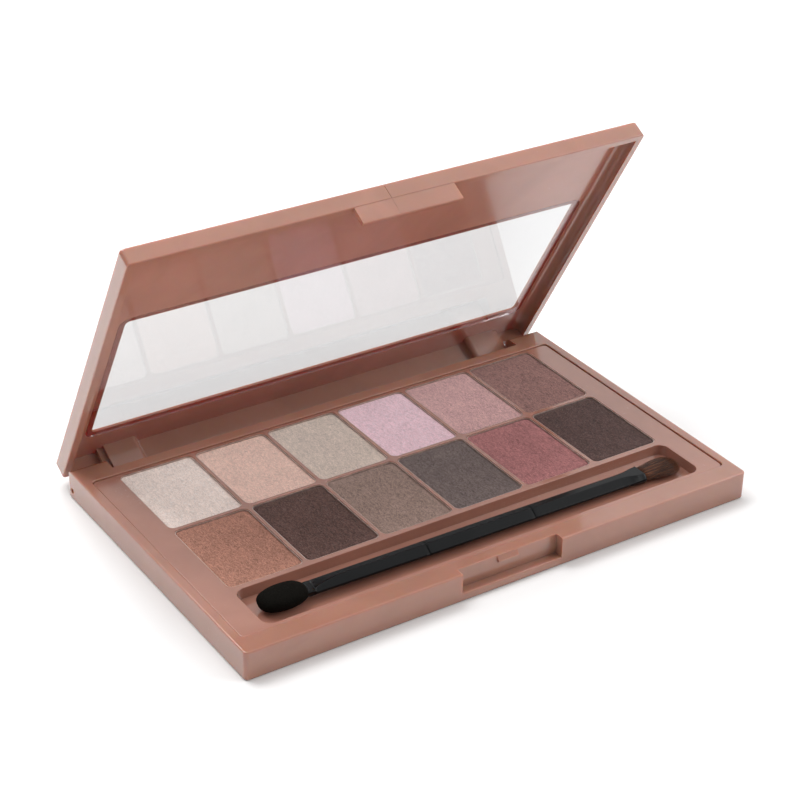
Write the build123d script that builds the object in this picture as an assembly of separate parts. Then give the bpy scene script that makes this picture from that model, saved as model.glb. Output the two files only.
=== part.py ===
"""Twelve-shade pressed eyeshadow palette with a hinged window lid and a dual-ended applicator.

Millimetres. The origin is the centre of the underside, +X runs along the palette's width, +Y from the
catch at the front to the hinge at the rear, and +Z is up. The base is drawn where it stands, and the lid
is drawn closed on the base and then swung open about the hinge axis.
"""

import os
from math import cos, radians

from build123d import *

# Outer case
WIDTH = 146.0
DEPTH = 91.0
BASE_HEIGHT = 7.8
LID_HEIGHT = 4.6
LID_GAP = 0.1
LID_OPEN = 60.5
CORNER_R = 1.2
FRONT = -DEPTH / 2
REAR = DEPTH / 2

# Base shell
FLOOR = 1.2
SIDE_RIM = 2.5
FRONT_RIM = 5.85
CAVITY_REAR = 36.7
REAR_WALL = 40.1
POST_WIDTH = 10.0
POST_ROUND = 2.5
BASE_TOP_R = 0.45
BASE_BOTTOM_R = 0.6
CAVITY_TOP_R = 0.25
RIB = 1.0
RIB_X = (-42.7, 0.0, 42.7)
RIB_Y = (-22.0, 7.2)

# Hinge: the axis is as far from the rear face as from the underside
HINGE_R = 2.5
HINGE_Y = REAR - HINGE_R
HINGE_Z = HINGE_R
KNUCKLE_OUT = 61.0
KNUCKLE_IN = 51.5
TONGUE_OUT = 62.7
STRIP_FRONT = 43.3
STEP_FRONT = 41.6
STRIP_BLEND = 1.3
PIN_R = 0.75
PIN_CLEARANCE = 0.05
PIN_LENGTH = 18.0
PIN_INSET = 0.8

# Catch: a notch in the front rim with a nib, and a tab on the lid that drops into it
NOTCH_WIDTH = 29.2
NOTCH_DEPTH = 2.5
NOTCH_FLOOR = 2.3
NOTCH_LIP_R = 0.4
NIB_WIDTH = 5.8
NIB_REACH = 0.75
NIB_TOP = 7.5
NIB_TIP = 6.1
NIB_UNDER = 5.7
TAB_WIDTH = 28.3
TAB_THICK = 1.3
TAB_BOTTOM = 3.1
TAB_SETBACK = 0.1
RIDGE_REACH = 0.15
SCORE = 0.16
SCORE_X = -3.7

# Tray with twelve wells and the applicator's channel
TRAY_TOP = 7.45
TRAY_BOTTOM = 4.0
TRAY_FLOOR = 4.75
TRAY_GAP = 0.15
WELL_FIT = 0.05
COLUMNS = 6
COLUMN_PITCH = 21.35
ROW_PITCH = 29.1
ROW_CENTRE = 7.2
CHANNEL_LENGTH = 127.4
CHANNEL_WIDTH = 15.4
CHANNEL_X = 0.3
CHANNEL_Y = -30.5
CHANNEL_R = 2.6
CHANNEL_DRAFT = 6.0

# Pans and pressed powder
POWDER_X = 20.0
POWDER_Y = 27.6
POWDER_R = 1.5
POWDER_TOP = 7.1
PAN_WALL = 0.2
PAN_TOP = 7.3

# Lid
LID_BOTTOM = BASE_HEIGHT + LID_GAP
LID_TOP = LID_BOTTOM + LID_HEIGHT
LID_PLATE = 1.3
LID_WALL = 2.0
LID_COVE = 2.7
LID_INNER = LID_TOP - LID_PLATE
WINDOW_X = 131.4
WINDOW_Y = 48.2
WINDOW_CENTRE = 8.5
WINDOW_R = 1.2
SHEET_THICK = 0.6
SHEET_LAP = 1.8
SHEET_GAP = 0.05

# Applicator: it lies in the channel along X
TOOL_Y = -30.6
TOOL_Z = 6.75
TOOL_TILT = 0.5
SLEEVE_HALF = 15.6
HANDLE_W = 5.8
HANDLE_H = 3.6
HANDLE_FLAT = 1.6
HANDLE_SIDE = 0.5
JOINT_W = 5.7
JOINT_H = 3.54
SPIGOT_R = 1.2
SPIGOT_LENGTH = 6.0
SHOULDER_X = -47.0
SHOULDER_W = 5.1
SHOULDER_LENGTH = 12.0
PADDLE_W = 4.6
PADDLE_H = 1.3
PADDLE_END = -57.5
SPONGE_X = -54.4
SPONGE_SIZE = (13.2, 8.0, 5.4)
SPONGE_LIFT = 0.28
CRIMP_X = 45.5
CRIMP_W = 5.7
CRIMP_H = 3.2
STEM_END = 50.5
STEM_END_W = 6.0
STEM_END_H = 2.9
STEM_END_FLAT = 4.2
TUFT_TIP = 63.0


def rounded_block(size_x, size_y, radius, low, high, centre_y=0.0):
    """Upright block with rounded vertical corners between two heights."""
    outline = Plane.XY.offset(low) * Pos(0, centre_y) * RectangleRounded(size_x, size_y, radius)
    return extrude(outline, high - low)


def block(x, y, z):
    """Box between pairs of low and high limits."""
    size = [high - low for low, high in (x, y, z)]
    centre = [(high + low) / 2 for low, high in (x, y, z)]
    return Pos(*centre) * Box(*size)


def along_x(profile, x_low, x_high):
    """Extrudes an outline of (y, z) points or a closed sketch in the YZ plane between two X limits."""
    return extrude(Plane.YZ.offset(x_low) * profile, x_high - x_low)


def both_sides(shape):
    """The shape and its mirror image across the middle of the palette."""
    return shape + mirror(shape, Plane.YZ)


def edges_at(shape, height):
    """Edges that lie at one height."""
    return shape.edges().filter_by_position(Axis.Z, height - 0.001, height + 0.001)


def nib():
    """Wedge on the notch's back wall that the lid's tab snaps over."""
    wall = FRONT + NOTCH_DEPTH
    wedge = Polygon(
        (wall + 0.3, NIB_TOP), (wall, NIB_TOP), (wall - NIB_REACH, NIB_TIP + 0.3),
        (wall - NIB_REACH, NIB_TIP), (wall, NIB_UNDER), (wall + 0.3, NIB_UNDER), align=None,
    )
    return along_x(wedge, -NIB_WIDTH / 2, NIB_WIDTH / 2)


def base_shell():
    shell = rounded_block(WIDTH, DEPTH, CORNER_R, 0, BASE_HEIGHT)
    shell = fillet(edges_at(shell, BASE_HEIGHT), BASE_TOP_R)
    shell = fillet(edges_at(shell, 0), BASE_BOTTOM_R)
    outer_top = edges_at(shell, BASE_HEIGHT)
    cavity_front = FRONT + FRONT_RIM
    cavity_x = WIDTH - 2 * SIDE_RIM
    cavity_y = CAVITY_REAR - cavity_front
    middle = (CAVITY_REAR + cavity_front) / 2
    shell -= rounded_block(cavity_x, cavity_y, CORNER_R, FLOOR, BASE_HEIGHT + 1, middle)
    mouth = edges_at(shell, BASE_HEIGHT) - outer_top
    shell = fillet(mouth, CAVITY_TOP_R)
    for x in RIB_X:
        rib_x = (x - RIB / 2, x + RIB / 2)
        shell += block(rib_x, (cavity_front - 0.2, CAVITY_REAR + 0.2), (FLOOR - 0.2, TRAY_BOTTOM))
    for y in RIB_Y:
        rib_y = (y - RIB / 2, y + RIB / 2)
        shell += block((-cavity_x / 2 - 0.2, cavity_x / 2 + 0.2), rib_y, (FLOOR - 0.2, TRAY_BOTTOM))
    gap_x = WIDTH / 2 - POST_WIDTH
    shell -= block((-gap_x, gap_x), (REAR_WALL, REAR + 1), (-1, BASE_HEIGHT + 1))
    turn = BASE_HEIGHT - POST_ROUND
    corner = Rectangle(POST_ROUND + 1, POST_ROUND + 1, align=(Align.MIN, Align.MIN)) - Circle(POST_ROUND)
    shell -= along_x(Pos(HINGE_Y, turn) * corner, -WIDTH, WIDTH)
    notch_x = (-NOTCH_WIDTH / 2, NOTCH_WIDTH / 2)
    notch = block(notch_x, (FRONT - 1, FRONT + NOTCH_DEPTH), (NOTCH_FLOOR, BASE_HEIGHT + 1))
    shell -= notch
    lip = edges_at(shell, NOTCH_FLOOR).filter_by(Axis.X).sort_by(Axis.Y)[0]
    shell = fillet(lip, NOTCH_LIP_R)
    shell += nib()
    pin_hole = along_x(Pos(HINGE_Y, HINGE_Z) * Circle(PIN_R), WIDTH / 2 - POST_WIDTH - 1, WIDTH / 2 + 1)
    return shell - both_sides(pin_hole)


def well_places():
    """Node suffix and centre of each of the twelve wells, rear row first, from the left."""
    places = []
    for row, y in (("rear", ROW_CENTRE + ROW_PITCH / 2), ("front", ROW_CENTRE - ROW_PITCH / 2)):
        for column in range(COLUMNS):
            x = (column - (COLUMNS - 1) / 2) * COLUMN_PITCH
            places.append((f"{row}_{column + 1}", x, y))
    return places


def insert_tray():
    front = FRONT + FRONT_RIM + TRAY_GAP
    rear = CAVITY_REAR - TRAY_GAP
    size_x = WIDTH - 2 * SIDE_RIM - 2 * TRAY_GAP
    tray = rounded_block(size_x, rear - front, CORNER_R, TRAY_BOTTOM, TRAY_TOP, (front + rear) / 2)
    tray = fillet(edges_at(tray, TRAY_TOP), 0.25)
    grow = 2 * (PAN_WALL + WELL_FIT)
    well = RectangleRounded(POWDER_X + grow, POWDER_Y + grow, POWDER_R + grow / 2)
    wells = Sketch() + [Pos(x, y) * well for _, x, y in well_places()]
    tray -= extrude(Plane.XY.offset(TRAY_FLOOR) * wells, TRAY_TOP)
    mouth = Pos(CHANNEL_X, CHANNEL_Y) * RectangleRounded(CHANNEL_LENGTH, CHANNEL_WIDTH, CHANNEL_R)
    channel = extrude(Plane.XY.offset(TRAY_TOP) * mouth, -(TRAY_TOP - TRAY_FLOOR), taper=CHANNEL_DRAFT)
    tray -= channel
    return fillet(edges_at(tray, TRAY_TOP).filter_by_position(Axis.Y, -39, -22), 0.2)


def pan(x, y):
    """Thin pressed-metal pan."""
    grow = 2 * PAN_WALL
    outside = RectangleRounded(POWDER_X + grow, POWDER_Y + grow, POWDER_R + PAN_WALL)
    inside = RectangleRounded(POWDER_X, POWDER_Y, POWDER_R)
    cup = extrude(Plane.XY.offset(TRAY_FLOOR) * outside, PAN_TOP - TRAY_FLOOR)
    cup -= extrude(Plane.XY.offset(TRAY_FLOOR + PAN_WALL) * inside, PAN_TOP)
    return Pos(x, y) * cup


def powder(x, y):
    """Cake of powder pressed into a pan."""
    low = TRAY_FLOOR + PAN_WALL
    cake = extrude(Plane.XY.offset(low) * RectangleRounded(POWDER_X, POWDER_Y, POWDER_R), POWDER_TOP - low)
    return Pos(x, y) * fillet(edges_at(cake, POWDER_TOP), 0.15)


def hinge_pin(side):
    """Steel pin, held in the base's post and turning in the lid's knuckle."""
    outer = WIDTH / 2 - PIN_INSET
    pin = along_x(Pos(HINGE_Y, HINGE_Z) * Circle(PIN_R), outer - PIN_LENGTH, outer)
    pin = chamfer(pin.edges().filter_by(GeomType.CIRCLE), 0.15)
    return pin if side > 0 else mirror(pin, Plane.YZ)


def hinge_tongue():
    """Rear wall of the lid that reaches down between the base's posts, thick at the two knuckles."""
    knuckle_front = HINGE_Y - HINGE_R
    right = [(KNUCKLE_IN, STRIP_FRONT), (KNUCKLE_IN, knuckle_front), (KNUCKLE_OUT, knuckle_front),
             (KNUCKLE_OUT, STEP_FRONT), (TONGUE_OUT, STEP_FRONT), (TONGUE_OUT, REAR)]
    left = [(-x, y) for x, y in reversed(right)]
    plan = Plane.XY * Polygon(*right, *left, align=None)
    blended = [v for v in plan.vertices() if abs(abs(v.X) - KNUCKLE_IN) < 0.01]
    plan = fillet(blended, STRIP_BLEND)
    upright = Rectangle(2 * HINGE_R, LID_TOP - 1 - HINGE_Z, align=(Align.CENTER, Align.MIN))
    section = Pos(HINGE_Y, HINGE_Z) * (upright + Circle(HINGE_R))
    return extrude(plan, LID_TOP - 1) & along_x(section, -TONGUE_OUT, TONGUE_OUT)


def lid_hollow():
    """Inside of the lid, with a cove where its plate turns up into each side wall."""
    half, height = WIDTH / 2 - LID_WALL, LID_INNER - LID_BOTTOM + 1
    front, rear = FRONT + LID_WALL, STRIP_FRONT
    hollow = block((-half, half), (front, rear), (LID_BOTTOM - 1, LID_BOTTOM - 1 + height))
    return fillet(hollow.edges().filter_by(Axis.Y).group_by(Axis.Z)[-1], LID_COVE)


def catch_tab():
    """Tab under the lid's front wall, with the ridge that snaps under the nib."""
    outer = FRONT + TAB_SETBACK
    tab = block((-TAB_WIDTH / 2, TAB_WIDTH / 2), (outer, outer + TAB_THICK), (TAB_BOTTOM, LID_BOTTOM + 0.5))
    tab = fillet(tab.edges().filter_by(Axis.X).group_by(Axis.Z)[0], 0.35)
    low, high = TAB_BOTTOM + 0.9, TAB_BOTTOM + 1.8
    inner = outer + TAB_THICK
    ridge = Polygon((inner - 0.2, low), (inner, low), (inner + RIDGE_REACH, (low + high) / 2),
                    (inner, high), (inner - 0.2, high), align=None)
    return tab + along_x(ridge, -NIB_WIDTH / 2, NIB_WIDTH / 2)


def closed_lid_frame():
    lid = rounded_block(WIDTH, DEPTH, CORNER_R, LID_BOTTOM, LID_TOP)
    lid = fillet(edges_at(lid, LID_TOP), 0.6)
    lid = fillet(edges_at(lid, LID_BOTTOM), 0.3)
    lid -= lid_hollow()
    lid += hinge_tongue()
    bore = Pos(HINGE_Y, HINGE_Z) * Circle(PIN_R + PIN_CLEARANCE)
    pin_end = WIDTH / 2 - PIN_INSET - PIN_LENGTH
    lid -= both_sides(along_x(bore, pin_end - 0.3, TONGUE_OUT + 1))
    lid -= rounded_block(WINDOW_X, WINDOW_Y, WINDOW_R, LID_INNER - 1, LID_TOP + 1, WINDOW_CENTRE)
    lap = 2 * (SHEET_LAP + SHEET_GAP)
    lid -= rounded_block(WINDOW_X + lap, WINDOW_Y + lap, WINDOW_R + lap / 2, LID_INNER - 1,
                         LID_INNER + SHEET_THICK + SHEET_GAP, WINDOW_CENTRE)
    lid += catch_tab()
    half = SCORE / 2
    lid -= block((SCORE_X - half, SCORE_X + half), (FRONT - 1, FRONT + SCORE), (TAB_BOTTOM - 1, LID_TOP - 0.7))
    return lid


def closed_window_sheet():
    """Clear sheet bonded into the rebate round the window, flush with the inside of the lid."""
    lap = 2 * SHEET_LAP
    return rounded_block(WINDOW_X + lap, WINDOW_Y + lap, WINDOW_R + SHEET_LAP, LID_INNER, LID_INNER + SHEET_THICK,
                         WINDOW_CENTRE)


def swung_open(piece):
    """Turns a closed piece of the lid about the hinge axis to the open position."""
    axis = Pos(0, HINGE_Y, HINGE_Z)
    return axis * Rot(-LID_OPEN, 0, 0) * axis.inverse() * piece


def handle_section(x, width, height, flat):
    """Eight-sided section of the applicator's handle, with narrow flats at its top, bottom and sides."""
    side = HANDLE_SIDE / 2
    half_w, half_h = width / 2, height / 2
    quarter = [(half_w, side), (flat / 2, half_h)]
    upper = quarter + [(-y, z) for y, z in reversed(quarter)]
    points = upper + [(-y, -z) for y, z in upper]
    return Plane.YZ.offset(x) * Polygon(*points, align=None)


def sleeve():
    middle = handle_section(0, HANDLE_W, HANDLE_H, HANDLE_FLAT)
    body = loft([handle_section(-SLEEVE_HALF, JOINT_W, JOINT_H, HANDLE_FLAT), middle])
    body += mirror(body, Plane.YZ)
    return body - along_x(Circle(SPIGOT_R), -SLEEVE_HALF - 1, SLEEVE_HALF + 1)


def paddle():
    """Flat end of the sponge stem, which the sponge is moulded over."""
    half = PADDLE_W / 2
    flat = block((PADDLE_END, SHOULDER_X + 1), (-half, half), (-PADDLE_H / 2, PADDLE_H / 2))
    return fillet(flat.edges().filter_by(Axis.Z).group_by(Axis.X)[0], half * 0.8)


def sponge_stem():
    root = -SLEEVE_HALF
    stem = loft([
        handle_section(SHOULDER_X, SHOULDER_W, JOINT_H, HANDLE_FLAT),
        handle_section(root, JOINT_W, JOINT_H, HANDLE_FLAT),
    ])
    low, rise = PADDLE_H / 2, (JOINT_H - PADDLE_H) / 2
    span = (SHOULDER_X - 1, SHOULDER_X + SHOULDER_LENGTH)
    curve = Pos(span[1], low) * Ellipse(SHOULDER_LENGTH, rise)
    above = Pos(span[0], low) * Rectangle(span[1] - span[0], JOINT_H, align=(Align.MIN, Align.MIN))
    scoop = extrude(Plane.XZ * (above - curve), HANDLE_W, both=True)
    stem -= scoop + mirror(scoop, Plane.XY)
    return stem + paddle() + along_x(Circle(SPIGOT_R), root - 0.5, root + SPIGOT_LENGTH)


def brush_stem():
    root = SLEEVE_HALF
    joint = handle_section(root, JOINT_W, JOINT_H, HANDLE_FLAT)
    crimp = handle_section(CRIMP_X, CRIMP_W, CRIMP_H, HANDLE_FLAT)
    mouth = handle_section(STEM_END, STEM_END_W, STEM_END_H, STEM_END_FLAT)
    stem = loft([joint, crimp]) + loft([crimp, mouth])
    return stem + along_x(Circle(SPIGOT_R), root - SPIGOT_LENGTH, root + 0.5)


def sponge_tip():
    length, width, height = SPONGE_SIZE
    half = Ellipse(length / 2, width / 2) & Pos(0, width) * Rectangle(2 * length, 2 * width)
    oval = scale(revolve(half, Axis.X), by=(1, 1, height / width))
    return Pos(SPONGE_X, 0, SPONGE_LIFT) * oval - paddle()


def brush_tuft():
    stations = (
        (STEM_END, 0.46 * STEM_END_W, 0.42 * STEM_END_H),
        (STEM_END + 4.5, 3.5, 1.35),
        (STEM_END + 8.5, 4.0, 1.3),
        (TUFT_TIP - 1.2, 3.5, 0.95),
        (TUFT_TIP, 1.9, 0.5),
    )
    return loft([Plane.YZ.offset(x) * Ellipse(half_w, half_h) for x, half_w, half_h in stations])


def in_channel(piece):
    """Lays a piece of the applicator in the channel, its brush end a little lower than its sponge end."""
    return Pos(0, TOOL_Y, TOOL_Z) * Rot(0, TOOL_TILT, 0) * piece


def build():
    nodes = {"base_shell": base_shell(), "insert_tray": insert_tray()}
    for name, x, y in well_places():
        nodes[f"pan_{name}"] = pan(x, y)
        nodes[f"powder_{name}"] = powder(x, y)
    nodes["hinge_pin_left"] = hinge_pin(-1)
    nodes["hinge_pin_right"] = hinge_pin(1)
    nodes["lid_frame"] = swung_open(closed_lid_frame())
    nodes["window_sheet"] = swung_open(closed_window_sheet())
    nodes["applicator_sleeve"] = in_channel(sleeve())
    nodes["sponge_stem"] = in_channel(sponge_stem())
    nodes["brush_stem"] = in_channel(brush_stem())
    nodes["sponge_tip"] = in_channel(sponge_tip())
    nodes["brush_tuft"] = in_channel(brush_tuft())
    return nodes


os.makedirs("parts", exist_ok=True)
for node, shape in build().items():
    export_step(shape, f"parts/{node}.step")
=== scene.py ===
import math
import random

import bmesh
import bpy
from bpy.props import FloatProperty, FloatVectorProperty, IntProperty, PointerProperty
from mathutils import Matrix, Vector, noise


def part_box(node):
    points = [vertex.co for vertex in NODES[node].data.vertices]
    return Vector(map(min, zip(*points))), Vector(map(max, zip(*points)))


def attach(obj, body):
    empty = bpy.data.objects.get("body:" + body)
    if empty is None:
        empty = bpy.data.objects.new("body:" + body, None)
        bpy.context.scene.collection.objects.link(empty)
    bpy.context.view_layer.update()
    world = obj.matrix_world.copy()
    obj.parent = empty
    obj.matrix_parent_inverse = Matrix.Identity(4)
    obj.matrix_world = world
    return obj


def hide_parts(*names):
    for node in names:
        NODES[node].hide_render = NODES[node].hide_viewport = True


bl_info = {
    "name": "Eyeshadow Palette",
    "version": (1, 0, 0),
    "blender": (4, 5, 0),
    "location": "3D View > Sidebar > Palette",
    "description": "Finishes for a twelve-shade eyeshadow palette with an applicator",
    "category": "Object",
}

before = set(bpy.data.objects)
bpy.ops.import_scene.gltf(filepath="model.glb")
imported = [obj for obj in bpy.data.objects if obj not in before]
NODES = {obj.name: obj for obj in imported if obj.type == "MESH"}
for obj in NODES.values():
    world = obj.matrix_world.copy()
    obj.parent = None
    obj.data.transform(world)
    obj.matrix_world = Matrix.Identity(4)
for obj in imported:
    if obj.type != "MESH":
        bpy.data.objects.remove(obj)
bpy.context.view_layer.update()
BOXES = {name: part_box(name) for name in NODES}

MM = 0.001
ROWS = ("rear", "front")
COLUMNS = 6

# Applicator, in millimetres along its own axis from the middle of its sleeve
TOOL_TILT = 0.5
SHOULDER_X = -47.0
SHOULDER_LENGTH = 12.0
PADDLE_END = -57.5
PADDLE_HALF_W = 2.3
PADDLE_HALF_H = 0.65
SLEEVE_HALF = 15.6
JOINT_GAP = 0.07
JOINT_TURN = 0.12
STEM_END = 50.5
CRIMP_START = 43.5
TUFT_ROOT_HALF = 2.75
TUFT_HALF = 3.95

# Sponge: inset and lumps as shares of its size, a power under 1 for blunt ends, and its neck's length share
SPONGE_INSET = 0.012
SPONGE_LUMPS = 0.35
SPONGE_BLUNT = 0.6
SPONGE_NECK = 0.88


# ---------------------------------------------------------------- colours and settings

def shade_property(label, colour):
    """Colour of one pressed powder."""
    return FloatVectorProperty(name=label, description=f"Colour of the {label.lower()} powder",
                               subtype="COLOR", default=colour, min=0.0, max=1.0)


class CaseSettings(bpy.types.PropertyGroup):
    """Colours and gloss of the moulded case, its tray and its window."""
    case_colour: FloatVectorProperty(name="Case colour", description="Colour of the moulded case",
                                     subtype="COLOR", default=(0.37, 0.175, 0.122), min=0.0, max=1.0)
    tray_colour: FloatVectorProperty(name="Tray colour", description="Colour of the tray round the pans",
                                     subtype="COLOR", default=(0.365, 0.165, 0.118), min=0.0, max=1.0)
    case_roughness: FloatProperty(name="Case roughness", description="Roughness of the case's moulded skin",
                                  subtype="FACTOR", default=0.2, min=0.0, max=1.0)
    tray_roughness: FloatProperty(name="Tray roughness", description="Roughness of the tray's satin skin",
                                  subtype="FACTOR", default=0.22, min=0.0, max=1.0)
    window_tint: FloatVectorProperty(name="Window tint", description="Tint of the clear window",
                                     subtype="COLOR", default=(0.66, 0.66, 0.665), min=0.0, max=1.0)


class ShadeSettings(bpy.types.PropertyGroup):
    """Colours of the twelve pressed powders, from the left of each row."""
    rear_1: shade_property("Ivory", (0.846, 0.699, 0.633))
    rear_2: shade_property("Shell pink", (0.765, 0.513, 0.432))
    rear_3: shade_property("Oyster", (0.606, 0.495, 0.426))
    rear_4: shade_property("Rose petal", (0.807, 0.552, 0.613))
    rear_5: shade_property("Dusty pink", (0.576, 0.339, 0.330))
    rear_6: shade_property("Cocoa", (0.274, 0.136, 0.118))
    front_1: shade_property("Copper", (0.395, 0.180, 0.124))
    front_2: shade_property("Espresso", (0.097, 0.044, 0.034))
    front_3: shade_property("Taupe", (0.291, 0.195, 0.160))
    front_4: shade_property("Slate", (0.148, 0.108, 0.100))
    front_5: shade_property("Cranberry", (0.374, 0.142, 0.141))
    front_6: shade_property("Truffle", (0.077, 0.035, 0.029))


class ApplicatorSettings(bpy.types.PropertyGroup):
    """Colours and sizes of the dual-ended applicator."""
    handle_colour: FloatVectorProperty(name="Handle colour", description="Colour of the moulded handle",
                                       subtype="COLOR", default=(0.0028, 0.0034, 0.0042), min=0.0, max=1.0)
    sponge_colour: FloatVectorProperty(name="Sponge colour", description="Colour of the foam tip",
                                       subtype="COLOR", default=(0.0065, 0.0058, 0.0048), min=0.0, max=1.0)
    hair_colour: FloatVectorProperty(name="Hair colour", description="Main colour of the brush hair",
                                     subtype="COLOR", default=(0.165, 0.056, 0.022), min=0.0, max=1.0)
    hair_count: IntProperty(name="Hairs", description="Number of hairs in the brush", default=1500, min=100,
                            max=4000)
    hair_radius: FloatProperty(name="Hair radius", description="Radius of one hair at its root",
                               subtype="DISTANCE", unit="LENGTH", default=0.045 * MM,
                               min=0.01 * MM, max=0.2 * MM)


class StageSettings(bpy.types.PropertyGroup):
    """Floor, lights and camera."""
    floor_colour: FloatVectorProperty(name="Floor colour", description="Colour of the floor", subtype="COLOR",
                                      default=(0.87, 0.87, 0.87), min=0.0, max=1.0)
    sky_strength: FloatProperty(name="Sky strength", description="Brightness of the white surroundings",
                                default=1.2, min=0.0, max=5.0)
    horizon: FloatProperty(name="Horizon", description="Brightness of the surroundings near the floor, "
                           "as a share of those overhead", subtype="FACTOR", default=0.22, min=0.0, max=1.0)
    front_share: FloatProperty(name="Front share", description="Brightness of the surroundings in front, "
                               "as a share of those behind", subtype="FACTOR", default=0.42, min=0.0, max=1.0)
    key_power: FloatProperty(name="Key light", description="Power of the large light overhead",
                             subtype="POWER", unit="POWER", default=6.5, min=0.0, max=100.0)
    fill_power: FloatProperty(name="Fill light", description="Power of the light at the right",
                              subtype="POWER", unit="POWER", default=3.2, min=0.0, max=100.0)
    lens: FloatProperty(name="Lens", description="Focal length of the camera", subtype="DISTANCE_CAMERA",
                        unit="CAMERA", default=93.2, min=10.0, max=400.0)


# ---------------------------------------------------------------- node helpers

def new_group(name, inputs, outputs):
    """Shader node group with float inputs (name, default) and outputs (name, socket type)."""
    group = bpy.data.node_groups.new(name, "ShaderNodeTree")
    for label, default in inputs:
        socket = group.interface.new_socket(label, in_out="INPUT", socket_type="NodeSocketFloat")
        socket.default_value = default
    for label, kind in outputs:
        group.interface.new_socket(label, in_out="OUTPUT", socket_type=kind)
    return group


class Tree:
    """Short calls for placing and joining shader nodes in one node tree."""

    def __init__(self, tree):
        self.tree = tree

    def node(self, kind, **values):
        made = self.tree.nodes.new("ShaderNode" + kind)
        for name, value in values.items():
            setattr(made, name, value)
        return made

    def join(self, source, target):
        self.tree.links.new(source, target)

    def feed(self, value, target):
        """Joins a socket to an input, or sets the input to a plain value."""
        if isinstance(value, bpy.types.NodeSocket):
            self.join(value, target)
        else:
            target.default_value = value

    def math(self, operation, *values, clamp=False):
        made = self.node("Math", operation=operation, use_clamp=clamp)
        for value, target in zip(values, made.inputs):
            self.feed(value, target)
        return made.outputs[0]

    def mix(self, amount, first, second):
        made = self.node("Mix", data_type="RGBA")
        for value, target in ((amount, made.inputs[0]), (first, made.inputs[6]), (second, made.inputs[7])):
            self.feed(rgba(value) if isinstance(value, tuple) else value, target)
        return made.outputs[2]

    def ramp(self, value, low, high, low_to=0.0, high_to=1.0):
        made = self.node("MapRange", interpolation_type="SMOOTHSTEP")
        for number, item in enumerate((value, low, high, low_to, high_to)):
            self.feed(item, made.inputs[number])
        return made.outputs[0]

    def scaled(self, vector, size):
        """Vector multiplied by a number, a socket or three numbers."""
        made = self.node("VectorMath", operation="MULTIPLY")
        self.join(vector, made.inputs[0])
        self.feed(size if isinstance(size, (bpy.types.NodeSocket, tuple)) else (size,) * 3, made.inputs[1])
        return made.outputs[0]

    def noise(self, vector, scale, detail=2.0, roughness=0.5, distortion=0.0):
        made = self.node("TexNoise")
        self.join(vector, made.inputs["Vector"])
        self.feed(scale, made.inputs["Scale"])
        made.inputs["Detail"].default_value = detail
        made.inputs["Roughness"].default_value = roughness
        made.inputs["Distortion"].default_value = distortion
        return made.outputs[0]

    def cells(self, vector, scale, feature="F1"):
        made = self.node("TexVoronoi", feature=feature)
        self.join(vector, made.inputs["Vector"])
        self.feed(scale, made.inputs["Scale"])
        return made

    def group(self, group, **values):
        made = self.node("Group", node_tree=group)
        for name, value in values.items():
            self.feed(value, made.inputs[name.replace("_", " ")])
        return made


def rgba(colour):
    return (*tuple(colour)[:3], 1.0)


def place(tree):
    """Position on the piece in millimetres."""
    return tree.scaled(tree.node("TexCoord").outputs["Object"], 1 / MM)


def material(name, build):
    """Material whose Principled shader is filled in by build(tree, shader)."""
    made = bpy.data.materials.new(name)
    made.use_nodes = True
    tree = Tree(made.node_tree)
    build(tree, made.node_tree.nodes["Principled BSDF"])
    return made


def bumped(tree, shader, height, distance, strength=1.0):
    """Feeds a height in millimetres to the shader's normal."""
    bump = tree.node("Bump")
    bump.inputs["Strength"].default_value = strength
    bump.inputs["Distance"].default_value = distance * MM
    tree.join(height, bump.inputs["Height"])
    tree.join(bump.outputs[0], shader.inputs["Normal"])


# ---------------------------------------------------------------- shared effects

def moulded_skin_group():
    """Skin of a moulded plastic: slow flow marks, fine orange peel and hairline rubs."""
    group = new_group("moulded_skin", (("Flow Scale", 0.06), ("Peel Scale", 3.0), ("Rubs", 0.3)),
                      (("Flow", "NodeSocketFloat"), ("Rub", "NodeSocketFloat"),
                       ("Height", "NodeSocketFloat")))
    tree = Tree(group)
    source = group.nodes.new("NodeGroupInput")
    result = group.nodes.new("NodeGroupOutput")
    where = place(tree)
    flow = tree.noise(where, source.outputs["Flow Scale"], detail=3.0, distortion=0.8)
    peel = tree.noise(where, source.outputs["Peel Scale"], detail=1.0)
    lines = tree.noise(tree.scaled(where, (0.25, 5.0, 5.0)), 1.3, detail=2.0, roughness=0.7)
    across = tree.noise(tree.scaled(where, (4.0, 0.3, 2.0)), 1.1, detail=2.0, roughness=0.7)
    rub = tree.math("ADD", tree.ramp(lines, 0.60, 0.72), tree.ramp(across, 0.62, 0.74))
    patch = tree.ramp(tree.noise(where, 0.05, detail=2.0), 0.42, 0.62)
    rub = tree.math("MULTIPLY", tree.math("MULTIPLY", rub, patch), source.outputs["Rubs"], clamp=True)
    tree.join(flow, result.inputs["Flow"])
    tree.join(rub, result.inputs["Rub"])
    height = tree.math("SUBTRACT", peel, tree.math("MULTIPLY", rub, 0.6))
    tree.join(height, result.inputs["Height"])
    return group


def dust_group():
    """Fine loose dust: sparse specks that settle most where a slow noise is high."""
    group = new_group("loose_dust", (("Speck Scale", 2.5), ("Amount", 0.5)), (("Dust", "NodeSocketFloat"),))
    tree = Tree(group)
    source = group.nodes.new("NodeGroupInput")
    result = group.nodes.new("NodeGroupOutput")
    where = place(tree)
    specks = tree.cells(where, source.outputs["Speck Scale"]).outputs["Distance"]
    speck = tree.ramp(specks, 0.10, 0.20, 1.0, 0.0)
    chosen = tree.ramp(tree.noise(where, 0.9, detail=3.0), 0.56, 0.66)
    dust = tree.math("MULTIPLY", tree.math("MULTIPLY", speck, chosen), source.outputs["Amount"], clamp=True)
    tree.join(dust, result.inputs["Dust"])
    return group


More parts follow.
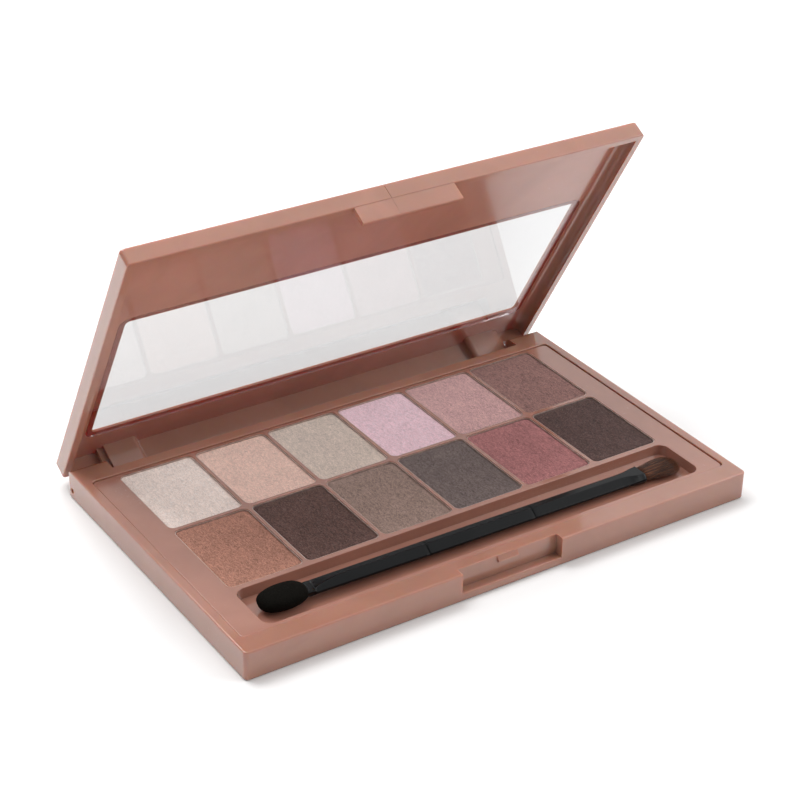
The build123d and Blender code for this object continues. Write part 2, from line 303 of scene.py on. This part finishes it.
def pressed_grain_group():
    """Grain of a pressed powder: fine crumbs, short drifting streaks and scattered shimmer."""
    group = new_group("pressed_grain", (("Grain Scale", 3.4), ("Streaks", 0.5), ("Shimmer", 0.5)),
                      (("Shade", "NodeSocketFloat"), ("Spark", "NodeSocketFloat"),
                       ("Height", "NodeSocketFloat")))
    tree = Tree(group)
    source = group.nodes.new("NodeGroupInput")
    result = group.nodes.new("NodeGroupOutput")
    where = place(tree)
    grain = tree.noise(where, source.outputs["Grain Scale"], detail=4.0, roughness=0.72)
    crumbs = tree.noise(where, 1.1, detail=3.0, roughness=0.6, distortion=1.2)
    slow = tree.noise(where, 0.16, detail=3.0)
    bent = tree.scaled(where, (1.1, 0.32, 1.0))
    streak = tree.noise(bent, 1.6, detail=3.0, roughness=0.65, distortion=1.6)
    streak = tree.math("MULTIPLY", tree.math("SUBTRACT", streak, 0.5), source.outputs["Streaks"])
    shade = tree.math("ADD", tree.math("MULTIPLY", grain, 0.62), tree.math("MULTIPLY", crumbs, 0.26))
    shade = tree.math("ADD", shade, tree.math("MULTIPLY", slow, 0.12))
    shade = tree.math("ADD", shade, streak)
    flakes = tree.cells(where, 4.2)
    lit = tree.node("SeparateColor")
    tree.join(flakes.outputs["Color"], lit.inputs[0])
    glint = tree.ramp(lit.outputs[0], 0.80, 0.92)
    spark = tree.math("MULTIPLY", glint, source.outputs["Shimmer"], clamp=True)
    tree.join(tree.ramp(shade, 0.30, 0.70), result.inputs["Shade"])
    tree.join(spark, result.inputs["Spark"])
    tree.join(tree.math("ADD", shade, tree.math("MULTIPLY", lit.outputs[1], 0.25)), result.inputs["Height"])
    return group


EFFECTS = {}


def effect(name):
    """Shared shader group, built once."""
    makers = {"skin": moulded_skin_group, "dust": dust_group, "grain": pressed_grain_group}
    if name not in EFFECTS:
        EFFECTS[name] = makers[name]()
    return EFFECTS[name]


# ---------------------------------------------------------------- materials

def moulded_plastic(name, colour, roughness, flow=0.06, coat=0.55, glow=0.0, shine=0.5):
    """Pearly moulded plastic with a soft gloss."""
    def build(tree, shader):
        skin = tree.group(effect("skin"))
        dust = tree.group(effect("dust"), Amount=0.35)
        deep = tuple(c * (1 - flow) for c in colour)
        light = tuple(min(1.0, c * (1 + flow * 0.6)) for c in colour)
        tint = tree.mix(tree.ramp(skin.outputs["Flow"], 0.32, 0.68), deep, light)
        pale = tuple(min(1.0, c * 1.2 + 0.05) for c in colour)
        tint = tree.mix(tree.math("MULTIPLY", skin.outputs["Rub"], 0.25), tint, pale)
        tint = tree.mix(tree.math("MULTIPLY", dust.outputs["Dust"], 0.35), tint, pale)
        tree.join(tint, shader.inputs["Base Color"])
        rough = tree.ramp(skin.outputs["Flow"], 0.3, 0.7, roughness * 0.9, roughness * 1.12)
        rough = tree.math("ADD", rough, tree.math("MULTIPLY", skin.outputs["Rub"], 0.16))
        rough = tree.math("ADD", rough, tree.math("MULTIPLY", dust.outputs["Dust"], 0.25), clamp=True)
        tree.join(rough, shader.inputs["Roughness"])
        shader.inputs["IOR"].default_value = 1.52
        shader.inputs["Specular IOR Level"].default_value = shine
        shader.inputs["Coat Weight"].default_value = coat
        shader.inputs["Coat Roughness"].default_value = 0.08
        if glow:
            shader.inputs["Subsurface Weight"].default_value = glow
            shader.inputs["Subsurface Radius"].default_value = (1.0, 0.25, 0.08)
            shader.inputs["Subsurface Scale"].default_value = 3.6 * MM
        bumped(tree, shader, skin.outputs["Height"], 0.012, 0.25)
    return material(name, build)


def clear_window(name, tint):
    """Clear acrylic with faint wiping marks."""
    def build(tree, shader):
        skin = tree.group(effect("skin"), Rubs=0.5)
        shader.inputs["Base Color"].default_value = rgba(tint)
        rough = tree.math("ADD", tree.math("MULTIPLY", skin.outputs["Rub"], 0.05), 0.012)
        tree.join(rough, shader.inputs["Roughness"])
        shader.inputs["Transmission Weight"].default_value = 1.0
        shader.inputs["IOR"].default_value = 1.49
        bumped(tree, shader, skin.outputs["Flow"], 0.02, 0.05)
    return material(name, build)


def bare_metal(name, colour, roughness):
    """Rolled metal with fine lines and dull spots."""
    def build(tree, shader):
        where = place(tree)
        lines = tree.noise(tree.scaled(where, (0.4, 9.0, 9.0)), 2.0, detail=3.0)
        dull = tree.noise(where, 0.7, detail=3.0)
        dark = tuple(c * 0.78 for c in colour)
        tree.join(tree.mix(tree.ramp(dull, 0.35, 0.7), dark, colour), shader.inputs["Base Color"])
        shader.inputs["Metallic"].default_value = 1.0
        tree.join(tree.ramp(lines, 0.3, 0.7, roughness * 0.8, roughness * 1.3), shader.inputs["Roughness"])
        bumped(tree, shader, lines, 0.01, 0.3)
    return material(name, build)


def pressed_powder(name, colour, depth, shimmer):
    """Pressed powder in one shade; depth is how much its grain darkens and lightens it."""
    def build(tree, shader):
        grain = tree.group(effect("grain"), Shimmer=shimmer, Streaks=0.55)
        dark = tuple(c * (1 - depth) for c in colour)
        light = tuple(min(1.0, c * (1 + depth * 0.7) + 0.012) for c in colour)
        tint = tree.mix(grain.outputs["Shade"], dark, light)
        spark = tuple(min(1.0, c * 1.5 + 0.08) for c in colour)
        tint = tree.mix(grain.outputs["Spark"], tint, spark)
        tree.join(tint, shader.inputs["Base Color"])
        rough = tree.math("SUBTRACT", 0.78, tree.math("MULTIPLY", grain.outputs["Spark"], 0.35))
        tree.join(rough, shader.inputs["Roughness"])
        shine = tree.math("MULTIPLY", grain.outputs["Spark"], 0.6)
        tree.join(shine, shader.inputs["Metallic"])
        shader.inputs["Sheen Weight"].default_value = 0.12
        shader.inputs["Sheen Roughness"].default_value = 0.4
        shader.inputs["Specular IOR Level"].default_value = 0.35
        bumped(tree, shader, grain.outputs["Height"], 0.09, 0.8)
    return material(name, build)


def sponge_foam(name, colour):
    """Fine-celled foam, with painted shade darkening the middle of each pore."""
    def build(tree, shader):
        where = place(tree)
        pores = tree.cells(where, 4.5)
        painted_pore_shade = tree.ramp(pores.outputs["Distance"], 0.1, 0.5)
        fuzz = tree.noise(where, 7.0, detail=4.0, roughness=0.7)
        dark = tuple(c * 0.45 for c in colour)
        pale = tuple(c * 2.2 for c in colour)
        # Painted shade: the foam colour darkens towards the middle of each pore, where shade would fall in an
        # open cell.
        tint = tree.mix(painted_pore_shade, dark, rgba(colour))
        tint = tree.mix(tree.ramp(fuzz, 0.45, 0.75), tint, pale)
        tree.join(tint, shader.inputs["Base Color"])
        tree.join(tree.ramp(fuzz, 0.3, 0.7, 0.9, 1.0), shader.inputs["Roughness"])
        shader.inputs["Specular IOR Level"].default_value = 0.05
        bumped(tree, shader, tree.math("SUBTRACT", fuzz, pores.outputs["Distance"]), 0.12, 0.8)
    return material(name, build)


def brush_hair(name, colour):
    """Hair that darkens in bands and varies from strand to strand."""
    def build(tree, shader):
        where = place(tree)
        strand = tree.noise(tree.scaled(where, (0.05, 5.0, 5.0)), 1.0, detail=1.0)
        slow = tree.noise(tree.scaled(where, (0.2, 0.6, 0.6)), 1.0, detail=2.0)
        along = tree.noise(tree.scaled(where, (0.6, 3.0, 3.0)), 1.0, detail=2.0)
        dark = tuple(c * 0.34 for c in colour)
        gold = (colour[0] * 2.5, colour[1] * 2.6, colour[2] * 2.7)
        tint = tree.mix(tree.ramp(strand, 0.42, 0.60), dark, rgba(colour))
        tint = tree.mix(tree.ramp(strand, 0.60, 0.70), tint, gold)
        tint = tree.mix(tree.ramp(slow, 0.50, 0.75, 0.0, 0.6), tint, dark)
        tree.join(tree.mix(tree.ramp(along, 0.5, 0.8, 0.0, 0.35), tint, gold), shader.inputs["Base Color"])
        tree.join(tree.ramp(along, 0.3, 0.7, 0.32, 0.5), shader.inputs["Roughness"])
    return material(name, build)


def studio_floor(name, colour):
    """Plain matt floor, very slightly mottled."""
    def build(tree, shader):
        mottle = tree.noise(tree.node("TexCoord").outputs["Object"], 3.0, detail=3.0)
        dim = tuple(c * 0.985 for c in colour)
        tree.join(tree.mix(mottle, dim, rgba(colour)), shader.inputs["Base Color"])
        shader.inputs["Roughness"].default_value = 0.9
        shader.inputs["Specular IOR Level"].default_value = 0.1
    return material(name, build)


def dress(node, finish):
    """Gives a CAD node its finish."""
    for slot in NODES[node].material_slots:
        slot.material = finish


# ---------------------------------------------------------------- mesh helpers

def mesh_object(name, mesh_data, finish):
    """New object at the origin from a bmesh, which is then freed."""
    bmesh.ops.recalc_face_normals(mesh_data, faces=mesh_data.faces)
    mesh = bpy.data.meshes.new(name)
    mesh_data.to_mesh(mesh)
    mesh_data.free()
    mesh.shade_smooth()
    made = bpy.data.objects.new(name, mesh)
    bpy.context.scene.collection.objects.link(made)
    mesh.materials.append(finish)
    return made


def skin_rings(mesh_data, rings, closed_ends=True):
    """Joins rings of vertices with faces, and caps both ends."""
    made = [[mesh_data.verts.new(point) for point in ring] for ring in rings]
    for first, second in zip(made, made[1:]):
        count = len(first)
        for i in range(count):
            mesh_data.faces.new((first[i], first[(i + 1) % count], second[(i + 1) % count], second[i]))
    if closed_ends:
        mesh_data.faces.new(list(reversed(made[0])))
        mesh_data.faces.new(made[-1])
    return made


def smooth_step(low, high, value):
    """0 below low, 1 above high, and a smooth turn between."""
    t = min(1.0, max(0.0, (value - low) / (high - low)))
    return t * t * (3 - 2 * t)


# ---------------------------------------------------------------- pressed powders

POWDER_SIDE = 1.5
POWDER_SINK = 0.02
POWDER_STEP = 0.42
POWDER_EDGE = (0.0, 0.08, 0.2, 0.4, 0.7)
EDGE_FALL = 0.10


def grid_lines(half, fine, step):
    """Positions from -half to half, closer together near both ends."""
    edge = [half - d for d in fine]
    inner = half - fine[-1]
    count = max(2, round(2 * inner / step))
    middle = [-inner + 2 * inner * i / count for i in range(count + 1)]
    return [-e for e in edge[:-1]] + middle + list(reversed(edge[:-1]))


def round_corner(x, y, half_x, half_y, radius):
    """Maps a point of a rectangle on to the same rectangle with rounded corners."""
    over_x, over_y = abs(x) - (half_x - radius), abs(y) - (half_y - radius)
    if over_x <= 0 or over_y <= 0:
        return x, y
    u, v = over_x / radius, over_y / radius
    new_x = half_x - radius + radius * u * math.sqrt(1 - v * v / 2)
    new_y = half_y - radius + radius * v * math.sqrt(1 - u * u / 2)
    return math.copysign(new_x, x), math.copysign(new_y, y)


def powder_height(x, y, half_x, half_y, seed):
    """Lift of a powder's face, in millimetres: pressed nearly flat, crumbled along the edges."""
    edge = min(half_x - abs(x), half_y - abs(y))
    rough = noise.fractal(Vector((x * 1.3 + seed, y * 1.3, seed)), 0.6, 2.1, 3)
    fine = noise.noise(Vector((x * 3.1, y * 3.1, seed * 3.7)))
    slow = noise.noise(Vector((x * 0.12, y * 0.12, seed * 5.1)))
    worn = 0.55 + 0.45 * noise.noise(Vector((x * 0.5 + seed, y * 0.5 - seed, 2.0)))
    fall = (1 - smooth_step(0.0, 0.55 + 0.3 * worn, edge)) * EDGE_FALL * (0.5 + worn)
    return 0.012 * rough + 0.006 * fine + 0.03 * slow - fall


def powder_mesh(low, high, seed):
    """Cake of powder between two corners, in metres."""
    centre = (low + high) / 2
    half_x, half_y = ((high[i] - low[i]) / 2 / MM - 0.01 for i in (0, 1))
    top = high.z / MM - POWDER_SINK
    xs, ys = (grid_lines(half, POWDER_EDGE, POWDER_STEP) for half in (half_x, half_y))
    mesh_data = bmesh.new()
    rows = []
    for y in ys:
        row = []
        for x in xs:
            px, py = round_corner(x, y, half_x, half_y, POWDER_SIDE)
            pz = top + powder_height(x, y, half_x, half_y, seed)
            row.append(mesh_data.verts.new((centre.x + px * MM, centre.y + py * MM, pz * MM)))
        rows.append(row)
    for below, above in zip(rows, rows[1:]):
        for i in range(len(xs) - 1):
            mesh_data.faces.new((below[i], below[i + 1], above[i + 1], above[i]))
    rim = rows[0][:-1] + [row[-1] for row in rows[:-1]] + rows[-1][:0:-1] + [row[0] for row in rows[:0:-1]]
    foot = [mesh_data.verts.new((v.co.x, v.co.y, low.z)) for v in rim]
    count = len(rim)
    for i in range(count):
        j = (i + 1) % count
        mesh_data.faces.new((rim[j], rim[i], foot[i], foot[j]))
    mesh_data.faces.new(list(reversed(foot)))
    return mesh_data


# ---------------------------------------------------------------- applicator shapes

def tool_place(x, y, z):
    """Point of the applicator's own axes, in millimetres, as a point of the palette, in metres."""
    low, high = BOXES["applicator_sleeve"]
    middle = (low + high) / 2
    turned = Matrix.Rotation(math.radians(TOOL_TILT), 3, "Y") @ Vector((x, y, z))
    return middle + turned * MM


def handle_size(x):
    """Half width, half height and half of the top flat at a place along the handle."""
    keys = ((SHOULDER_X, 2.55, 1.77, 0.8), (-SLEEVE_HALF, 2.85, 1.77, 0.8), (0.0, 2.9, 1.8, 0.8),
            (SLEEVE_HALF, 2.85, 1.77, 0.8), (CRIMP_START, 2.83, 1.62, 0.82), (45.8, 2.88, 1.56, 1.05),
            (48.0, 2.95, 1.50, 1.75), (STEM_END, 3.0, 1.45, 2.1))
    for first, second in zip(keys, keys[1:]):
        if x <= second[0]:
            t = max(0.0, (x - first[0]) / (second[0] - first[0]))
            return [a + (b - a) * t for a, b in zip(first[1:], second[1:])]
    return keys[-1][1:]


def handle_ring(x, shrink=0.0):
    """Section of the handle at x: flats at the top and sides, slanting facets between, softened corners."""
    half_w, half_h, flat = handle_size(x)
    half_w, half_h, flat = half_w - shrink, half_h - shrink, max(0.2, flat - shrink)
    side = 0.25
    cut = half_h
    if x < SHOULDER_X + SHOULDER_LENGTH:
        t = min(1.0, (SHOULDER_X + SHOULDER_LENGTH - x) / SHOULDER_LENGTH)
        cut = PADDLE_HALF_H + (half_h - PADDLE_HALF_H) * math.sqrt(max(0.0, 1 - t * t))
    slope = (half_w - flat) / (half_h - side)
    flat_cut = flat + (half_h - cut) * slope
    if x < SHOULDER_X:
        half_w = PADDLE_HALF_W
        flat_cut = PADDLE_HALF_W - 0.12
        side = PADDLE_HALF_H - 0.12
    corners = [(half_w, side), (flat_cut, cut)]
    quarter = soften(corners, half_w, cut)
    upper = quarter + [(-y, z) for y, z in reversed(quarter)]
    points = upper + [(-y, -z) for y, z in upper]
    return [tool_place(x, y, z) for y, z in points]


def soften(corners, half_w, half_h):
    """One quarter of a section with its two corners turned over three points each."""
    (side_w, side), (flat, top) = corners
    soft = 0.16
    run = Vector((flat - side_w, top - side))
    length = max(run.length, 1e-6)
    unit = run / length
    step = min(soft, length * 0.4)
    low_side = max(0.02, side - soft)
    points = [(side_w, low_side * 0.5), (side_w, low_side)]
    points += [(side_w + unit.x * step * 0.35, side + unit.y * step * 0.35 - soft * 0.15)]
    points += [(side_w + unit.x * step, side + unit.y * step)]
    points += [(side_w + unit.x * (length - step), side + unit.y * (length - step))]
    points += [(flat + soft * 0.1, top - soft * 0.12)]
    points += [(max(flat - soft, 0.05), top), (max(flat - soft, 0.05) * 0.5, top)]
    return points


def stations(low, high, step):
    """Evenly spaced places from low to high."""
    count = max(1, round((high - low) / step))
    return [low + (high - low) * i / count for i in range(count + 1)]


def handle_piece(name, rings, finish):
    """Handle piece from its sections, with its facets kept flat between soft corners."""
    mesh_data = bmesh.new()
    skin_rings(mesh_data, rings)
    made = mesh_object(name, mesh_data, finish)
    weigh = made.modifiers.new("flat_facets", "WEIGHTED_NORMAL")
    weigh.keep_sharp = True
    return made


def sponge_point(u, v):
    """Point on the sponge: u runs round it and v from its tip to its neck, both as angles."""
    low, high = BOXES["sponge_tip"]
    centre, half = (low + high) / 2, (high - low) / 2
    length, width, height = (half[i] / MM for i in range(3))
    ring = math.sin(v)
    blunt = abs(ring) ** SPONGE_BLUNT
    x = -length * math.cos(v) * (1.0 if math.cos(v) > 0 else SPONGE_NECK)
    y, z = width * blunt * math.cos(u), height * blunt * math.sin(u)
    where = Vector((x, y, z)) * 1.5
    lump = 0.05 * noise.noise(where * 0.35) + 0.02 * noise.fractal(where, 0.7, 2.0, 3)
    return centre + Vector((x, y, z)) * (1 - SPONGE_INSET + lump * SPONGE_LUMPS) * MM


def hair_paths(count, seed):
    """Centre lines of the brush's hairs, each five points long."""
    pick = random.Random(seed)
    low, high = BOXES["brush_tuft"]
    root = STEM_END - 0.6
    reach = (high.x / MM - 0.25) - STEM_END
    for _ in range(count):
        angle = pick.uniform(0, 2 * math.pi)
        out = math.sqrt(pick.uniform(0.0, 1.0))
        y, z = out * math.cos(angle), out * math.sin(angle)
        tip = reach * (1 - 0.24 * abs(y) ** 4.0) * (1 - 0.08 * z * z)
        tip = tip * pick.uniform(0.90, 1.0) + pick.uniform(-0.35, 0.0)
        stray = Vector((pick.gauss(0, 0.10), pick.gauss(0, 0.06)))
        path = []
        for i in range(6):
            t = i / 5
            wide = TUFT_ROOT_HALF + (TUFT_HALF - TUFT_ROOT_HALF) * smooth_step(0.0, 0.9, t)
            high_at = 1.10 + 0.22 * math.sin(math.pi * min(1.0, t * 0.9))
            close = 1 - 0.07 * smooth_step(0.75, 1.0, t)
            path.append((root + (tip + 0.6) * t, y * wide * close + stray.x * t * t * 2,
                         z * high_at * close + stray.y * t * t))
        yield path


def strand(mesh_data, path, radius):
    """Three-sided tapering hair along a path, closed at both ends."""
    rings = []
    for i, (x, y, z) in enumerate(path):
        r = radius / MM * (1 - 0.75 * (i / (len(path) - 1)) ** 2)
        ring = []
        for k in range(3):
            a = 2 * math.pi * k / 3
            ring.append(tool_place(x, y + r * math.cos(a), z + r * math.sin(a)))
        rings.append(ring)
    skin_rings(mesh_data, rings)


# ---------------------------------------------------------------- operators

class PALETTE_OT_case(bpy.types.Operator):
    """Finish the case: the base, the lid and the tray set in the base"""
    bl_idname = "palette.case"
    bl_label = "Finish case"

    def execute(self, context):
        case = context.scene.palette_case
        shell = moulded_plastic("rose_case", tuple(case.case_colour), case.case_roughness,
                                coat=0.75, glow=0.6)
        tray = moulded_plastic("rose_tray", tuple(case.tray_colour), case.tray_roughness, coat=0.8, glow=0.15)
        dress("base_shell", shell)
        dress("lid_frame", shell)
        dress("insert_tray", tray)
        return {"FINISHED"}


class PALETTE_OT_window(bpy.types.Operator):
    """Finish the lid's clear window"""
    bl_idname = "palette.window"
    bl_label = "Finish window"

    def execute(self, context):
        dress("window_sheet", clear_window("clear_acrylic", tuple(context.scene.palette_case.window_tint)))
        return {"FINISHED"}


class PALETTE_OT_metal(bpy.types.Operator):
    """Finish the twelve metal pans and the two hinge pins"""
    bl_idname = "palette.metal"
    bl_label = "Finish pans and pins"

    def execute(self, context):
        tin = bare_metal("rolled_tin", (0.66, 0.52, 0.47), 0.55)
        for row in ROWS:
            for column in range(COLUMNS):
                dress(f"pan_{row}_{column + 1}", tin)
        steel = bare_metal("drawn_steel", (0.56, 0.55, 0.54), 0.28)
        for side in ("left", "right"):
            dress(f"hinge_pin_{side}", steel)
        return {"FINISHED"}


class PALETTE_OT_powders(bpy.types.Operator):
    """Make the twelve pressed powders"""
    bl_idname = "palette.powders"
    bl_label = "Make powders"

    def execute(self, context):
        shades = context.scene.palette_shades
        for r, row in enumerate(ROWS):
            for column in range(COLUMNS):
                key = f"{row}_{column + 1}"
                colour = tuple(getattr(shades, key))
                brightness = sum(colour) / 3
                depth = 0.26 + 0.42 * (1 - min(1.0, brightness * 1.6))
                finish = pressed_powder(f"powder_{key}_shade", colour, depth, 0.35)
                low, high = BOXES[f"powder_{key}"]
                made = mesh_object(f"pressed_{key}", powder_mesh(low, high, 3.0 + r * 7 + column), finish)
                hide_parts(f"powder_{key}")
                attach(made, "base")
        return {"FINISHED"}


class PALETTE_OT_handle(bpy.types.Operator):
    """Make the applicator's handle: its sleeve and the stems of the sponge and the brush"""
    bl_idname = "palette.handle"
    bl_label = "Make handle"

    def execute(self, context):
        tool = context.scene.palette_tool
        finish = moulded_plastic("black_handle", tuple(tool.handle_colour), 0.20,
                                 flow=0.15, coat=0.0, shine=0.2)
        joint, gap, turn = SLEEVE_HALF, JOINT_GAP, JOINT_TURN
        sleeve = [handle_ring(-joint + gap, 0.06)]
        sleeve += [handle_ring(x) for x in stations(-joint + gap + turn, joint - gap - turn, 1.0)]
        sleeve += [handle_ring(joint - gap, 0.06)]
        paddle = [handle_ring(x) for x in stations(PADDLE_END, SHOULDER_X - 0.02, 0.8)]
        shoulder = [handle_ring(x) for x in stations(SHOULDER_X + 0.01, SHOULDER_X + 1.2, 0.1)]
        shoulder += [handle_ring(x) for x in stations(SHOULDER_X + 1.4, SHOULDER_X + SHOULDER_LENGTH, 0.3)]
        neck = SHOULDER_X + SHOULDER_LENGTH + 0.5
        body = [handle_ring(x) for x in stations(neck, -joint - gap - turn, 1.0)]
        sponge_side = paddle + shoulder + body + [handle_ring(-joint - gap, 0.06)]
        brush_side = [handle_ring(joint + gap, 0.06)]
        brush_side += [handle_ring(x) for x in stations(joint + gap + turn, CRIMP_START, 1.0)]
        brush_side += [handle_ring(x) for x in stations(CRIMP_START + 0.3, STEM_END - 0.2, 0.3)]
        brush_side += [handle_ring(STEM_END, 0.14)]
        brush_side += [handle_ring(STEM_END, 0.35)]
        brush_side += [handle_ring(STEM_END - 0.5, 0.42)]
        for name, rings, node in (("handle_middle", sleeve, "applicator_sleeve"),
                                  ("handle_sponge_side", sponge_side, "sponge_stem"),
                                  ("handle_brush_side", brush_side, "brush_stem")):
            made = handle_piece(name, rings, finish)
            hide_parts(node)
            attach(made, "applicator")
        return {"FINISHED"}


class PALETTE_OT_sponge(bpy.types.Operator):
    """Make the foam tip"""
    bl_idname = "palette.sponge"
    bl_label = "Make sponge tip"

    def execute(self, context):
        around, along = 72, 48
        rings = []
        for j in range(1, along):
            v = math.pi * j / along
            rings.append([sponge_point(2 * math.pi * i / around, v) for i in range(around)])
        mesh_data = bmesh.new()
        made_rings = skin_rings(mesh_data, rings, closed_ends=False)
        for ring, v in ((made_rings[0], 0.0), (made_rings[-1], math.pi)):
            pole = mesh_data.verts.new(sponge_point(0.0, v))
            for i in range(around):
                mesh_data.faces.new((ring[i], ring[(i + 1) % around], pole))
        finish = sponge_foam("sponge_foam", tuple(context.scene.palette_tool.sponge_colour))
        made = mesh_object("foam_tip", mesh_data, finish)
        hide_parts("sponge_tip")
        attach(made, "applicator")
        return {"FINISHED"}


class PALETTE_OT_brush(bpy.types.Operator):
    """Make the brush's hair"""
    bl_idname = "palette.brush"
    bl_label = "Make brush hair"

    def execute(self, context):
        tool = context.scene.palette_tool
        mesh_data = bmesh.new()
        for path in hair_paths(tool.hair_count, 21):
            strand(mesh_data, path, tool.hair_radius)
        made = mesh_object("brush_hair", mesh_data, brush_hair("sable_hair", tuple(tool.hair_colour)))
        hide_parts("brush_tuft")
        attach(made, "applicator")
        return {"FINISHED"}


KEY_SIZE, KEY_PLACE, KEY_AIM = 0.6, (-0.15, 0.40, 0.75), (0.0, 0.0, 0.0)
FILL_SIZE, FILL_PLACE, FILL_AIM = 0.5, (0.75, -0.50, 0.50), (0.0, 0.0, 0.02)
CAMERA_PLACE = (-0.2501, -0.3693, 0.2836)
CAMERA_AXES = ((0.8369, -0.5472, 0.0187), (0.2584, 0.4249, 0.8677))


def area_light(name, size, power, place_at, aim):
    """Soft square light at a place, turned to face another."""
    data = bpy.data.lights.new(name, "AREA")
    data.shape = "SQUARE"
    data.size = size
    data.energy = power
    made = bpy.data.objects.new(name, data)
    bpy.context.scene.collection.objects.link(made)
    made.location = place_at
    made.rotation_mode = "QUATERNION"
    made.rotation_quaternion = (Vector(aim) - Vector(place_at)).to_track_quat("-Z", "Y")
    return made


class PALETTE_OT_stage(bpy.types.Operator):
    """Make the floor, the soft lights and the camera"""
    bl_idname = "palette.stage"
    bl_label = "Make stage"

    def execute(self, context):
        stage = context.scene.palette_stage
        mesh_data = bmesh.new()
        bmesh.ops.create_grid(mesh_data, x_segments=8, y_segments=8, size=4.0)
        floor = mesh_object("studio_floor", mesh_data, studio_floor("floor_paper", tuple(stage.floor_colour)))
        floor.location.z = -0.00002
        world = bpy.data.worlds.new("studio_sky")
        world.use_nodes = True
        tree = Tree(world.node_tree)
        way = tree.node("SeparateXYZ")
        tree.join(tree.node("TexCoord").outputs["Generated"], way.inputs[0])
        lift = tree.ramp(way.outputs[2], 0.0, 0.75, stage.horizon, 1.0)
        across = tree.math("MULTIPLY", way.outputs[0], 1.1)
        side = tree.ramp(tree.math("ADD", way.outputs[1], across), -1.1, 1.1, stage.front_share, 1.0)
        glow = tree.math("MULTIPLY", tree.math("MULTIPLY", lift, side), stage.sky_strength)
        tree.join(glow, world.node_tree.nodes["Background"].inputs["Strength"])
        world.node_tree.nodes["Background"].inputs["Color"].default_value = (1.0, 1.0, 1.0, 1.0)
        context.scene.world = world
        area_light("overhead_light", KEY_SIZE, stage.key_power, KEY_PLACE, KEY_AIM)
        area_light("right_light", FILL_SIZE, stage.fill_power, FILL_PLACE, FILL_AIM)
        data = bpy.data.cameras.new("studio_camera")
        data.sensor_width = 36.0
        data.lens = stage.lens
        data.clip_start, data.clip_end = 0.01, 20.0
        camera = bpy.data.objects.new("studio_camera", data)
        context.scene.collection.objects.link(camera)
        right, up = (Vector(axis).normalized() for axis in CAMERA_AXES)
        back = right.cross(up).normalized()
        up = back.cross(right)
        turn = Matrix((right, up, back)).transposed()
        camera.matrix_world = Matrix.Translation(CAMERA_PLACE) @ turn.to_4x4()
        context.scene.camera = camera
        context.scene.view_settings.view_transform = "Standard"
        return {"FINISHED"}


class PALETTE_PT_panel(bpy.types.Panel):
    """Sidebar panel that lists the palette's pieces"""
    bl_idname = "PALETTE_PT_panel"
    bl_label = "Palette"
    bl_space_type = "VIEW_3D"
    bl_region_type = "UI"
    bl_category = "Palette"

    def draw(self, context):
        for operator in OPERATORS:
            self.layout.operator(operator.bl_idname)
        for group, _ in SETTINGS:
            settings = getattr(context.scene, group)
            box = self.layout.box()
            for name in settings.bl_rna.properties.keys():
                if name not in ("rna_type", "name"):
                    box.prop(settings, name)


OPERATORS = (PALETTE_OT_case, PALETTE_OT_window, PALETTE_OT_metal, PALETTE_OT_powders, PALETTE_OT_handle,
             PALETTE_OT_sponge, PALETTE_OT_brush, PALETTE_OT_stage)
SETTINGS = (("palette_case", CaseSettings), ("palette_shades", ShadeSettings),
            ("palette_tool", ApplicatorSettings), ("palette_stage", StageSettings))


def register():
    for _, group in SETTINGS:
        bpy.utils.register_class(group)
    for name, group in SETTINGS:
        setattr(bpy.types.Scene, name, PointerProperty(type=group))
    for operator in OPERATORS:
        bpy.utils.register_class(operator)
    bpy.utils.register_class(PALETTE_PT_panel)


def unregister():
    bpy.utils.unregister_class(PALETTE_PT_panel)
    for operator in reversed(OPERATORS):
        bpy.utils.unregister_class(operator)
    for name, group in reversed(SETTINGS):
        delattr(bpy.types.Scene, name)
        bpy.utils.unregister_class(group)


def main():
    register()
    bpy.ops.palette.case()
    bpy.ops.palette.window()
    bpy.ops.palette.metal()
    bpy.ops.palette.powders()
    bpy.ops.palette.handle()
    bpy.ops.palette.sponge()
    bpy.ops.palette.brush()
    bpy.ops.palette.stage()


if __name__ == "__main__":
    main()
